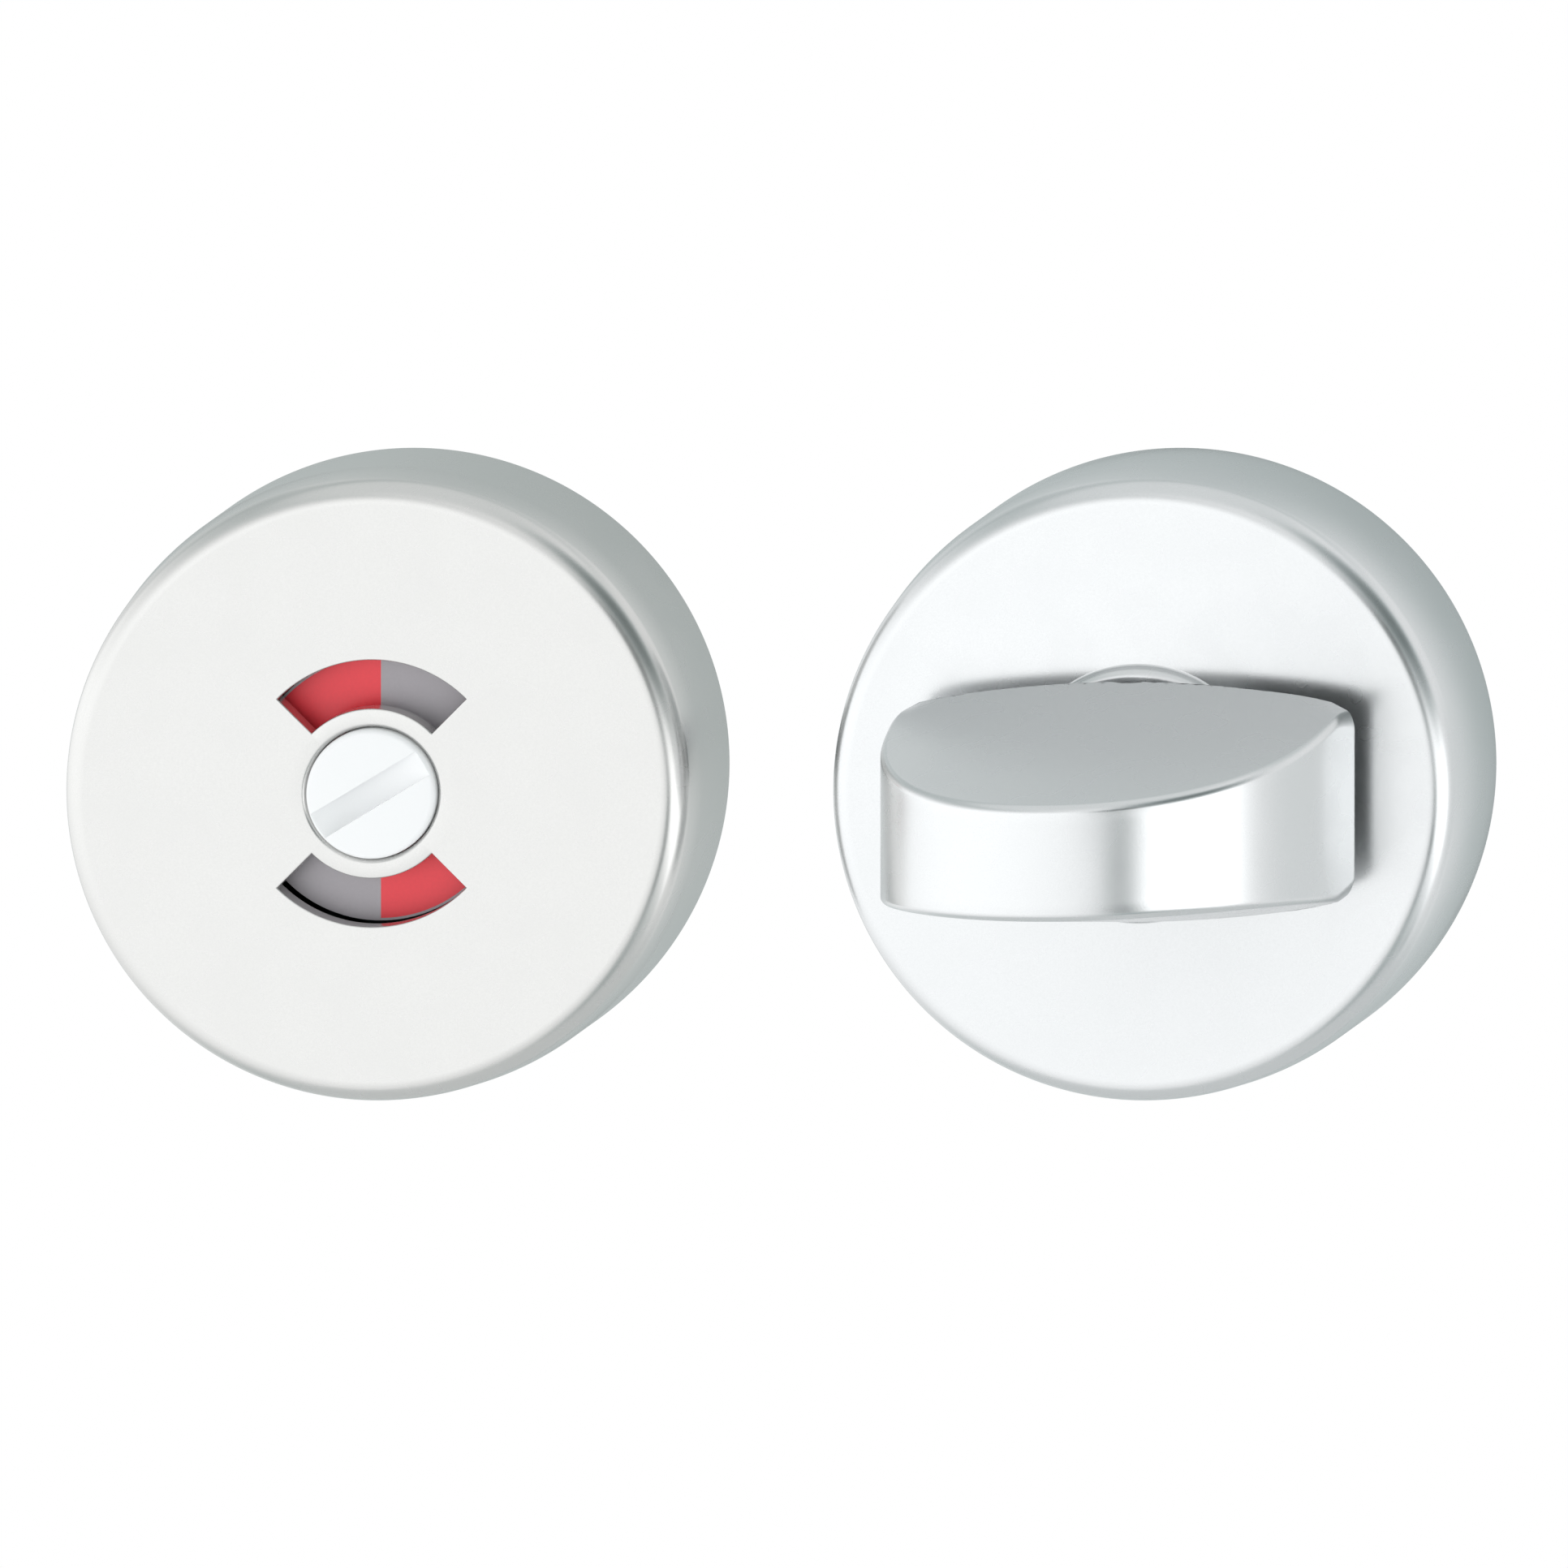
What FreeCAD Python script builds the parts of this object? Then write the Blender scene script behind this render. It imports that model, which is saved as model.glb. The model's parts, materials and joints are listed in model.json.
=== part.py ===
"""Bathroom lock set: inside rose with a thumb turn, outside rose with indicator and coin-slot release.

Millimetres. The door face is the plane Y = 0 and both roses look along -Y, with +Z up. The thumb
turn's axis is the Y axis, and the release rose stands to its left, as in the photo. Each rose is
drawn lying on its back, with its front up +Z and its door face at z = 0, and is then stood up.
"""

import FreeCAD
import Part
import math
import os

V = FreeCAD.Vector
FRONT = V(0, 0, 1)

# Driving sizes: the screws and spindle that the lock case asks for, and the two grips
lug_spacing = 38.0
screw_r = 2.0
spindle_side = 7.9
pin_r = 1.0
rose_h = 10.0
turn_half_length = 18.9
turn_half_thick = 9.92
button_r = 5.35

# Clearances: running, seated and loose
run_clear = 0.05
seat_clear = 0.05
pin_clear = 0.02
washer_clear = 0.1

# Screws, sleeves, inserts and the lugs and bosses that hold them
screw_hole_r = screw_r + 0.15
thread_hole_r = screw_r - 0.35
sleeve_r = screw_hole_r + 0.8
head_r = screw_hole_r + 2.05
insert_flats = 2 * (thread_hole_r + 1.1)
insert_top = 3.0
lug_r = sleeve_r + seat_clear + 0.95
lug_length = 8.0
boss_r = head_r + 1.1
boss_h = 4.3

# Rose covers
rose_r = lug_spacing / 2 + boss_r + 1.7
face_r = rose_r - 2.2
edge_round = 1.9
band_slope_deg = 8.0
cover_t = 1.2
cavity_r = rose_r - 1.4
inner_h = rose_h - cover_t

# Three snap nibs on an under-rose and their seats in the cover
snap_z = 2.1
snap_depth = 0.3
snap_half = 0.5
snap_root = 0.3
snap_half_deg = 12.0
snap_side_deg = 0.5
snap_first_deg = 30.0
snap_count = 3

# Where the release rose stands beside the turn rose
rose_gap = 11.2
rose_spacing = 2 * rose_r + rose_gap

# Square spindle, the neck round it and the cross pin
socket_side = spindle_side + 0.1
neck_r = 0.875 * socket_side
pin_long = neck_r + 3.0
pin_short = neck_r - 0.4
spindle_back = -44.0
spindle_edge = 0.4

# Circlips, washers and wave washers
circlip_t = 1.0
circlip_r = neck_r + 1.3
circlip_gap_deg = 50.0
groove_depth = 0.65
groove_clear = 0.05
washer_t = 0.5
washer_r = neck_r + 2.3
wave_t = 0.3
wave_h = 0.14
wave_r = neck_r + 1.5
wave_room = 0.6
wave_count = 3

# Turn cover's collar and the bush in its hole
bush_wall = 1.2
bush_hole_r = neck_r + bush_wall + seat_clear
bush_flange_t = 1.0
bush_flange_r = bush_hole_r + 1.25
bush_back = inner_h - bush_flange_t
collar_h = 1.0
collar_r = bush_hole_r + 2.3
collar_edge = 0.25
collar_top = rose_h + collar_h
bush_front = collar_top + 0.05

# Thumb turn: how far it stands off, its arch seen from above and its wedge seen from the end
turn_back = collar_top + 1.6
turn_depth = turn_half_length + 1.5
turn_crown_r = turn_half_length + 0.9
turn_shoulder_r = turn_half_length - 0.9
turn_foot_lean_deg = 8.0
turn_bow = 1.75
turn_end_half_thick = turn_half_thick - turn_bow
turn_taper = 0.256
turn_corner_r = 2.6
turn_corner_over = 0.15
turn_corner_deg = 75.0
turn_ridge_round = 0.6
shoulder_r = bush_hole_r + 0.35
neck_socket_top = turn_back + 8.0
spindle_front = neck_socket_top - 0.5

# Places behind the turn cover, from the front to the door
turn_circlip_z = bush_back - wave_room - washer_t - circlip_t
pin_z = turn_circlip_z / 2 + 0.15
neck_end = pin_z - pin_r - 0.5

# Under-roses
base_floor = 2.2
ring_in_r = cavity_r - 2.3
rib_count = 8
rib_t = 1.4
rib_h = 5.0

# Turn under-rose: hole for the neck and pocket for the pin's quarter turn
turn_hub_hole_r = neck_r + 0.3
turn_hub_h = pin_z + pin_r + 0.6
stop_floor = pin_z - pin_r - 0.4
stop_r = pin_long + 0.4
stop_spare_deg = math.degrees(math.asin(pin_r / turn_hub_hole_r)) + 1.6
hub_r = stop_r + 1.1
quarter = 90.0

# Release button and the hole and windows round it
button_front = rose_h + 0.5
button_edge = 0.35
button_flange_r = button_r + 1.05
button_flange_t = 0.7
button_stem_r = 2.9
button_hole_r = button_r + 0.1
button_hole_edge = 0.35
slot_w = 2.3
slot_depth = 1.7
slot_cutter_r = 9.0
slot_angle = 31.0
window_r_in = button_r + 1.65
window_r_out = window_r_in + 4.0
window_half_deg = 45.0

# Indicator disc under the cover
disc_t = 1.0
disc_r = window_r_out
disc_back = inner_h - 0.3 - button_flange_t - disc_t
red_depth = 0.3
red_r_in = window_r_in - 1.4
red_r_out = disc_r - 0.2

# Follower of the release, with the socket for the spindle's end and the hole for the button's stem
follower_r = neck_r
follower_flange_r = follower_r + 1.5
follower_flange_back = disc_back - 0.8
follower_end = -6.0
follower_socket_side = spindle_side + 0.2
stem_hole_end = disc_back - 1.2
button_stem_end = stem_hole_end + 0.1
follower_socket_top = stem_hole_end - 0.6
tongue_r = follower_flange_r + 2.0
tongue_half_deg = 8.0

# Release under-rose: bearing web, rear recess and stop block for the tongue
web_front = follower_flange_back - wave_room
web_back = web_front - 2.8
release_circlip_z = web_back - washer_t - circlip_t
recess_r = washer_r + 0.7
stop_block_h = disc_back - 0.3
stop_block_r_in = follower_flange_r + 0.3
eighth = 45.0
stop_block_spare_deg = 3.0


def rz(r, z):
    """A point of a half section: r from the axis, z up."""
    return V(r, 0, z)


def revolve(edges):
    """A closed half section turned about the axis."""
    face = Part.Face(Part.Wire(edges))
    return face.revolve(V(0, 0, 0), FRONT, 360)


def turned(points):
    """A solid of revolution from the corners of its half section."""
    return revolve(Part.makePolygon(points + points[:1]).Edges)


def rod(r, z0, z1, x=0.0, y=0.0):
    return Part.makeCylinder(r, z1 - z0, V(x, y, z0), FRONT)


def ring(r_in, r_out, z0, z1):
    return turned([rz(r_in, z0), rz(r_out, z0), rz(r_out, z1), rz(r_in, z1)])


def block(x0, x1, y0, y1, z0, z1):
    return Part.makeBox(x1 - x0, y1 - y0, z1 - z0, V(x0, y0, z0))


def at_angle(r, deg, z=0.0):
    a = math.radians(deg)
    return V(r * math.cos(a), r * math.sin(a), z)


def sector(r_in, r_out, z0, z1, from_deg, to_deg):
    """Part of a ring between two angles."""
    mid = (from_deg + to_deg) / 2
    outer = Part.Arc(at_angle(r_out, from_deg), at_angle(r_out, mid), at_angle(r_out, to_deg))
    inner = Part.Arc(at_angle(r_in, to_deg), at_angle(r_in, mid), at_angle(r_in, from_deg))
    side_a = Part.LineSegment(at_angle(r_in, from_deg), at_angle(r_out, from_deg))
    side_b = Part.LineSegment(at_angle(r_out, to_deg), at_angle(r_in, to_deg))
    wire = Part.Wire([side_a.toShape(), outer.toShape(), side_b.toShape(), inner.toShape()])
    solid = Part.Face(wire).extrude(V(0, 0, z1 - z0))
    solid.translate(V(0, 0, z0))
    return solid


def hex_bar(flats, z0, z1, x):
    """Upright bar of six sides, flats apart."""
    corner_r = flats / math.sqrt(3)
    corners = [at_angle(corner_r, 60.0 * i, z0) + V(x, 0, 0) for i in range(7)]
    return Part.Face(Part.makePolygon(corners)).extrude(V(0, 0, z1 - z0))


def square_bar(side, z0, z1, edge=0.0):
    bar = block(-side / 2, side / 2, -side / 2, side / 2, z0, z1)
    if edge:
        upright = [e for e in bar.Edges if abs(e.tangentAt(e.FirstParameter).z) > 0.9]
        bar = bar.makeChamfer(edge, upright)
    return bar


def on_edge_round(deg):
    """A point of the round along a cover's front edge, deg up from level."""
    a = math.radians(deg)
    return rz(face_r + edge_round * math.cos(a), rose_h - edge_round + edge_round * math.sin(a))


def snap_wedges(wall_r, depth, half, half_deg):
    """Short wedges round a wall: nibs on an under-rose, or the cutters of their seats in a cover."""
    spread = half * (1 + snap_root / depth)
    root = wall_r - snap_root
    wedges = []
    for i in range(snap_count):
        middle = snap_first_deg + i * 360.0 / snap_count
        points = [rz(root, snap_z - spread), rz(wall_r + depth, snap_z), rz(root, snap_z + spread)]
        section = Part.Face(Part.makePolygon(points + points[:1]))
        section.rotate(V(0, 0, 0), FRONT, middle - half_deg)
        wedges.append(section.revolve(V(0, 0, 0), FRONT, 2 * half_deg))
    return wedges


def cover(middle):
    """A cover from the half section of its middle, given from the inner face to the flat front."""
    flat_end = on_edge_round(90)
    low = on_edge_round(band_slope_deg)
    half_way = on_edge_round(45 + band_slope_deg / 2)
    band_foot = rz(rose_r, low.z - (rose_r - low.x) / math.tan(math.radians(band_slope_deg)))
    outside = [low, band_foot, rz(rose_r, 0)]
    inside = [rz(cavity_r, 0), rz(cavity_r, inner_h)]
    rest = Part.makePolygon(outside + inside + middle + [flat_end])
    shape = revolve([Part.Arc(flat_end, half_way, low).toShape()] + rest.Edges)
    depth = snap_depth + seat_clear
    for seat in snap_wedges(cavity_r, depth, snap_half + seat_clear, snap_half_deg + snap_side_deg):
        shape = shape.cut(seat)
    return shape


def turn_cover():
    return cover(
        [
            rz(bush_hole_r, inner_h),
            rz(bush_hole_r, collar_top),
            rz(collar_r - collar_edge, collar_top),
            rz(collar_r, collar_top - collar_edge),
            rz(collar_r, rose_h),
        ]
    )


def release_cover():
    shape = cover(
        [
            rz(button_hole_r, inner_h),
            rz(button_hole_r, rose_h - button_hole_edge),
            rz(button_hole_r + button_hole_edge, rose_h),
        ]
    )
    for middle in (90.0, 270.0):
        window = sector(
            window_r_in,
            window_r_out,
            inner_h - 1,
            rose_h + 1,
            middle - window_half_deg,
            middle + window_half_deg,
        )
        shape = shape.cut(window)
    return shape


def turn_bow_r():
    """Radius of the bowed long sides in the front view."""
    return (turn_half_length**2 + turn_bow**2) / (2 * turn_bow)


def wedge_half(side):
    """All below (side 1) or above (side -1) one bowed wall that leans in toward the front."""
    reach = turn_half_length * 4 / 3
    bow_r = turn_bow_r()
    end_y = turn_half_thick - bow_r + math.sqrt(bow_r**2 - reach**2)
    far = -2 * turn_half_thick
    bowed = Part.Arc(
        V(-reach, side * end_y, 0),
        V(0, side * turn_half_thick, 0),
        V(reach, side * end_y, 0),
    )
    rest = Part.makePolygon(
        [
            V(reach, side * end_y, 0),
            V(reach, side * far, 0),
            V(-reach, side * far, 0),
            V(-reach, side * end_y, 0),
        ]
    )
    deep = turn_depth + 2
    face = Part.Face(Part.Wire([bowed.toShape()] + rest.Edges))
    solid = face.extrude(V(0, -side * turn_taper * deep, deep))
    solid.translate(V(0, 0, turn_back))
    return solid


def arch():
    """The turn seen from above: feet that lean in a little, round shoulders and a flatter crown."""
    lean = math.radians(turn_foot_lean_deg)
    along = V(-math.sin(lean), 0, math.cos(lean))
    outward = V(math.cos(lean), 0, math.sin(lean))
    foot = V(turn_half_length, 0, 0)
    crown = V(0, 0, turn_depth - turn_crown_r)
    level = foot - outward * turn_shoulder_r
    away = level - crown
    back = away.dot(along)
    inner_r = turn_crown_r - turn_shoulder_r
    knee_h = math.sqrt(back**2 - away.dot(away) + inner_r**2) - back
    shoulder = level + along * knee_h
    knee = foot + along * knee_h
    meet_a = math.atan2(shoulder.z - crown.z, shoulder.x - crown.x)
    mid_a = (lean + meet_a) / 2
    meet = crown + V(math.cos(meet_a), 0, math.sin(meet_a)) * turn_crown_r
    mid = shoulder + V(math.cos(mid_a), 0, math.sin(mid_a)) * turn_shoulder_r

    def other(p):
        return V(-p.x, 0, p.z)

    edges = [
        Part.LineSegment(foot, knee).toShape(),
        Part.Arc(knee, mid, meet).toShape(),
        Part.Arc(meet, V(0, 0, turn_depth), other(meet)).toShape(),
        Part.Arc(other(meet), other(mid), other(knee)).toShape(),
        Part.LineSegment(other(knee), other(foot)).toShape(),
        Part.LineSegment(other(foot), foot).toShape(),
    ]
    half = 2 * turn_half_thick
    solid = Part.Face(Part.Wire(edges)).extrude(V(0, 2 * half, 0))
    solid.translate(V(0, -half, turn_back))
    return solid


def corner_prism():
    """An upright prism that takes the four corners off in the front view."""
    lean = math.radians(turn_corner_deg)
    wide = turn_half_length + turn_corner_over
    cx = wide - turn_corner_r
    cy = turn_end_half_thick - turn_corner_r + 0.2
    tip_x = cx + turn_corner_r * math.cos(lean)
    tip_y = cy + turn_corner_r * math.sin(lean)
    run = tip_x - turn_half_length / 3
    high = tip_y + run / math.tan(lean)
    mid_x = cx + turn_corner_r * math.cos(lean / 2)
    mid_y = cy + turn_corner_r * math.sin(lean / 2)
    edges = []
    for sx, sy in ((1, 1), (-1, 1), (-1, -1), (1, -1)):
        side = V(sx * wide, sy * cy, 0)
        tip = V(sx * tip_x, sy * tip_y, 0)
        far = V(sx * (tip_x - run), sy * high, 0)
        arc = Part.Arc(side, V(sx * mid_x, sy * mid_y, 0), tip)
        edges.append(arc.toShape())
        edges.append(Part.LineSegment(tip, far).toShape())
    for sy in (1, -1):
        near = V(tip_x - run, sy * high, 0)
        edges.append(Part.LineSegment(near, V(-near.x, near.y, 0)).toShape())
    for sx in (1, -1):
        up = V(sx * wide, cy, 0)
        edges.append(Part.LineSegment(up, V(up.x, -cy, 0)).toShape())
    wire = Part.Wire(Part.__sortEdges__(edges))
    solid = Part.Face(wire).extrude(V(0, 0, turn_depth + 4))
    solid.translate(V(0, 0, turn_back - 2))
    return solid


def turn_body():
    body = arch().common(wedge_half(1)).common(wedge_half(-1)).common(corner_prism())
    body = body.removeSplitter().Solids[0]
    ridge = []
    for edge in body.Edges:
        if edge.BoundBox.ZMax > turn_back + 0.01 and abs(edge.CenterOfMass.y) > 1:
            ridge.append(edge)
    return body.makeFillet(turn_ridge_round, ridge)


def groove(z, r):
    """Cutter for a circlip's groove in a shaft of radius r."""
    return ring(r - groove_depth, r + 2, z - groove_clear, z + circlip_t + groove_clear)


def thumb_turn():
    shape = turn_body()
    shape = shape.fuse(rod(neck_r, neck_end, turn_back + 1))
    shape = shape.fuse(rod(shoulder_r, bush_front + run_clear, turn_back + 0.5))
    shape = shape.cut(groove(turn_circlip_z, neck_r))
    shape = shape.cut(square_bar(socket_side, neck_end - 1, neck_socket_top))
    hole = Part.makeCylinder(pin_r + pin_clear, 2 * neck_r + 4, V(-neck_r - 2, 0, pin_z), V(1, 0, 0))
    shape = shape.cut(hole)
    return shape.removeSplitter().Solids[0]


def turn_bush():
    inner = neck_r + run_clear
    outer = bush_hole_r - seat_clear
    return turned(
        [
            rz(inner, bush_back),
            rz(bush_flange_r, bush_back),
            rz(bush_flange_r, inner_h),
            rz(outer, inner_h),
            rz(outer, bush_front),
            rz(inner, bush_front),
        ]
    )


def circlip(shaft_r, z):
    """Snap ring for a shaft, with its gap pointing down."""
    inner = shaft_r - groove_depth + groove_clear
    half_gap = circlip_gap_deg / 2
    return sector(inner, circlip_r, z, z + circlip_t, -90 + half_gap, 270 - half_gap)


def wave_line(r, z):
    """Closed curve round the axis that waves up and down."""
    points = []
    steps = wave_count * 4
    for i in range(steps):
        deg = 360.0 * i / steps
        points.append(at_angle(r, deg, z + wave_h * math.cos(math.radians(wave_count * deg))))
    curve = Part.BSplineCurve()
    curve.interpolate(Points=points, PeriodicFlag=True)
    return curve.toShape()


def wave_washer(r_in, r_out, z_mid):
    low_in = wave_line(r_in, z_mid - wave_t / 2)
    low_out = wave_line(r_out, z_mid - wave_t / 2)
    high_in = wave_line(r_in, z_mid + wave_t / 2)
    high_out = wave_line(r_out, z_mid + wave_t / 2)
    faces = []
    for a, b in ((low_in, low_out), (low_out, high_out), (high_out, high_in), (high_in, low_in)):
        faces += Part.makeRuledSurface(a, b).Faces
    shell = Part.makeShell(faces)
    shell.sewShape()
    solid = Part.Solid(shell)
    solid.fix(1e-4, 1e-4, 1e-4)
    if solid.Volume < 0:
        solid.reverse()
    return solid


def turn_wave_washer():
    low = turn_circlip_z + circlip_t + washer_t
    return wave_washer(neck_r + washer_clear, wave_r, (low + bush_back) / 2)


def turn_washer():
    z = turn_circlip_z + circlip_t
    return ring(neck_r + washer_clear, washer_r, z, z + washer_t)


def turn_spindle():
    bar = square_bar(spindle_side, spindle_back, spindle_front, spindle_edge)
    hole = Part.makeCylinder(pin_r + pin_clear, 2 * spindle_side, V(-spindle_side, 0, pin_z), V(1, 0, 0))
    return bar.cut(hole)


def spindle_pin():
    return Part.makeCylinder(pin_r, pin_long + pin_short, V(-pin_short, 0, pin_z), V(1, 0, 0))


def under_rose(middle):
    """Under-rose with its hub, floor, ribs, outer ring, snap nibs, screw bosses and lugs."""
    outer = cavity_r - seat_clear
    shape = turned(
        [
            rz(hub_r - 0.5, 0),
            rz(outer, 0),
            rz(outer, inner_h),
            rz(ring_in_r, inner_h),
            rz(ring_in_r, base_floor),
            rz(hub_r - 0.5, base_floor),
        ]
    )
    shape = shape.fuse(middle)
    for nib in snap_wedges(outer, snap_depth, snap_half, snap_half_deg):
        shape = shape.fuse(nib)
    for i in range(rib_count):
        rib = block(hub_r - 0.3, ring_in_r + 0.3, -rib_t / 2, rib_t / 2, base_floor - 0.5, rib_h)
        rib.rotate(V(0, 0, 0), FRONT, (i + 0.5) * 360.0 / rib_count)
        shape = shape.fuse(rib)
    for x in (-lug_spacing / 2, lug_spacing / 2):
        shape = shape.fuse(rod(boss_r, 0, boss_h, x))
        shape = shape.fuse(rod(lug_r, -lug_length, 0.5, x))
    return shape


def turn_base():
    hub = ring(turn_hub_hole_r, hub_r, 0, turn_hub_h)
    pocket = sector(
        turn_hub_hole_r - 1,
        stop_r,
        stop_floor,
        turn_hub_h + 1,
        -stop_spare_deg,
        quarter + stop_spare_deg,
    )
    shape = under_rose(hub.cut(pocket))
    for x in (-lug_spacing / 2, lug_spacing / 2):
        shape = shape.cut(rod(sleeve_r + seat_clear, -lug_length - 1, boss_h + 1, x))
        shape = shape.cut(rod(head_r, boss_h, inner_h + 1, x))
    return shape.removeSplitter().Solids[0]


def release_base():
    web = ring(follower_r + run_clear, hub_r, web_back, web_front)
    skirt = ring(recess_r, hub_r, 0, web_back + 0.5)
    free = eighth + tongue_half_deg + stop_block_spare_deg
    stop = sector(stop_block_r_in, hub_r, web_front - 0.5, stop_block_h, 90 + free, 450 - free)
    shape = under_rose(web.fuse(skirt).fuse(stop))
    for x in (-lug_spacing / 2, lug_spacing / 2):
        shape = shape.cut(hex_bar(insert_flats + 2 * seat_clear, -lug_length - 1, insert_top, x))
    return shape.removeSplitter().Solids[0]


def turn_lug_sleeves():
    """A steel tube in each lug of the turn's under-rose."""
    tubes = []
    for x in (-lug_spacing / 2, lug_spacing / 2):
        tube = rod(sleeve_r, -lug_length, boss_h, x)
        tubes.append(tube.cut(rod(screw_hole_r, -lug_length - 1, boss_h + 1, x)))
    return Part.makeCompound(tubes)


def release_lug_inserts():
    """A six-sided brass insert in each lug of the release's under-rose."""
    inserts = []
    for x in (-lug_spacing / 2, lug_spacing / 2):
        insert = hex_bar(insert_flats, -lug_length, insert_top, x)
        inserts.append(insert.cut(rod(thread_hole_r, -lug_length - 1, insert_top + 1, x)))
    return Part.makeCompound(inserts)


def release_button():
    flange_back = disc_back + disc_t
    flange_front = flange_back + button_flange_t
    shape = turned(
        [
            rz(0, button_front),
            rz(button_r - button_edge, button_front),
            rz(button_r, button_front - button_edge),
            rz(button_r, flange_front),
            rz(button_flange_r, flange_front),
            rz(button_flange_r, flange_back),
            rz(button_stem_r, flange_back),
            rz(button_stem_r, button_stem_end),
            rz(0, button_stem_end),
        ]
    )
    centre_z = button_front - slot_depth + slot_cutter_r
    cutter = Part.makeCylinder(slot_cutter_r, slot_w, V(0, -slot_w / 2, centre_z), V(0, 1, 0))
    cutter.rotate(V(0, 0, 0), FRONT, slot_angle)
    return shape.cut(cutter).Solids[0]


def red_fields(depth, spare):
    """The two quarter fields, left above and right below the middle."""
    front = disc_back + disc_t
    fields = []
    for start in (90.0, 270.0):
        fields.append(
            sector(red_r_in - spare, red_r_out + spare, front - depth, front, start, start + quarter)
        )
    return fields


def indicator_disc():
    disc = ring(button_stem_r + seat_clear, disc_r, disc_back, disc_back + disc_t)
    for field in red_fields(red_depth, 0.0):
        disc = disc.cut(field)
    return disc.Solids[0]


def indicator_red_fields():
    return Part.makeCompound(red_fields(red_depth, 0.0))


def release_follower():
    shape = turned(
        [
            rz(0, follower_end),
            rz(follower_r, follower_end),
            rz(follower_r, follower_flange_back),
            rz(follower_flange_r, follower_flange_back),
            rz(follower_flange_r, disc_back),
            rz(0, disc_back),
        ]
    )
    tongue = sector(
        follower_flange_r - 1,
        tongue_r,
        follower_flange_back,
        disc_back,
        90 - tongue_half_deg,
        90 + tongue_half_deg,
    )
    shape = shape.fuse(tongue)
    shape = shape.cut(square_bar(follower_socket_side, follower_end - 1, follower_socket_top))
    shape = shape.cut(rod(button_stem_r + seat_clear, stem_hole_end, disc_back + 1))
    shape = shape.cut(groove(release_circlip_z, follower_r))
    return shape.removeSplitter().Solids[0]


def release_wave_washer():
    z_mid = (web_front + follower_flange_back) / 2
    return wave_washer(follower_r + washer_clear, follower_flange_r, z_mid)


def release_washer():
    z = release_circlip_z + circlip_t
    return ring(follower_r + washer_clear, washer_r, z, web_back)


def stand_up(shape, x):
    """From lying on its back to its place on the door."""
    placed = shape.copy()
    placed.rotate(V(0, 0, 0), V(1, 0, 0), 90)
    placed.translate(V(x, 0, 0))
    return placed


def main():
    turn_side = {
        "turn_cover": turn_cover(),
        "thumb_turn": thumb_turn(),
        "turn_bush": turn_bush(),
        "turn_base": turn_base(),
        "turn_lug_sleeves": turn_lug_sleeves(),
        "turn_wave_washer": turn_wave_washer(),
        "turn_washer": turn_washer(),
        "turn_circlip": circlip(neck_r, turn_circlip_z),
        "turn_spindle": turn_spindle(),
        "spindle_pin": spindle_pin(),
    }
    release_side = {
        "release_cover": release_cover(),
        "release_button": release_button(),
        "release_follower": release_follower(),
        "indicator_disc": indicator_disc(),
        "indicator_red_fields": indicator_red_fields(),
        "release_base": release_base(),
        "release_lug_inserts": release_lug_inserts(),
        "release_wave_washer": release_wave_washer(),
        "release_washer": release_washer(),
        "release_circlip": circlip(follower_r, release_circlip_z),
    }
    os.makedirs("parts", exist_ok=True)
    for side, x in ((turn_side, 0.0), (release_side, -rose_spacing)):
        for name, shape in side.items():
            placed = stand_up(shape, x)
            placed.exportStep("parts/" + name + ".step")
            solids = len(placed.Solids)
            print(name, placed.ShapeType, solids, placed.isValid(), round(placed.Volume, 1))


main()
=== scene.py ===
"""Looks, light and camera for a bathroom lock set: two round satin roses, one with a thumb turn.

Metres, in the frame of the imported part: the door face is Y = 0, the roses look along -Y and +Z is up.
Outlines are drawn as on a lathe, in millimetres: r from a rose's axis and h out of the door face.
"""

import json
import math

import bmesh
import bpy
import numpy as np
from mathutils import Matrix, Vector


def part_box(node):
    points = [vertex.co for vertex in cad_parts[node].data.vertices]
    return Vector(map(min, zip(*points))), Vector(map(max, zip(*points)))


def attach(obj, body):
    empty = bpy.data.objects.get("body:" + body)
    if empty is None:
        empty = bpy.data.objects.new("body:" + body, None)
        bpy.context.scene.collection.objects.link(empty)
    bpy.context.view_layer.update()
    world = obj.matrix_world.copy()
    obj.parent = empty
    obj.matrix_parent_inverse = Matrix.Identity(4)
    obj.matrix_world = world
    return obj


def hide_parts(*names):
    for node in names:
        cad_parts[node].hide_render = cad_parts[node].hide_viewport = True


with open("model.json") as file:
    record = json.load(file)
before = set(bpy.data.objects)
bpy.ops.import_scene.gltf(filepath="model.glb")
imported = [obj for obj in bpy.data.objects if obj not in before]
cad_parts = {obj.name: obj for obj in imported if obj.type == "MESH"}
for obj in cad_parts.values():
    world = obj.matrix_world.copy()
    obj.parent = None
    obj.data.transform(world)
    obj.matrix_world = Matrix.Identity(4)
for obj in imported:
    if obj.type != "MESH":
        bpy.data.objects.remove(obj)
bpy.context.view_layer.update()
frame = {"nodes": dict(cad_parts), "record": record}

MM = 0.001
nodes = frame["nodes"]

# Places and outer sizes, read from the frame
turn_cover_lo, turn_cover_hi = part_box("turn_cover")
release_lo, release_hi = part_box("release_cover")
turn_lo, turn_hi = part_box("thumb_turn")
button_lo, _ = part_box("release_button")
rose_r = turn_cover_hi.x / MM
release_x = (release_lo.x + release_hi.x) / 2
rose_h = -release_lo.y / MM
collar_top = -turn_cover_lo.y / MM
turn_half_length = turn_hi.x / MM
turn_half_thick = turn_hi.z / MM
turn_front = -turn_lo.y / MM
button_front = -button_lo.y / MM

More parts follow.
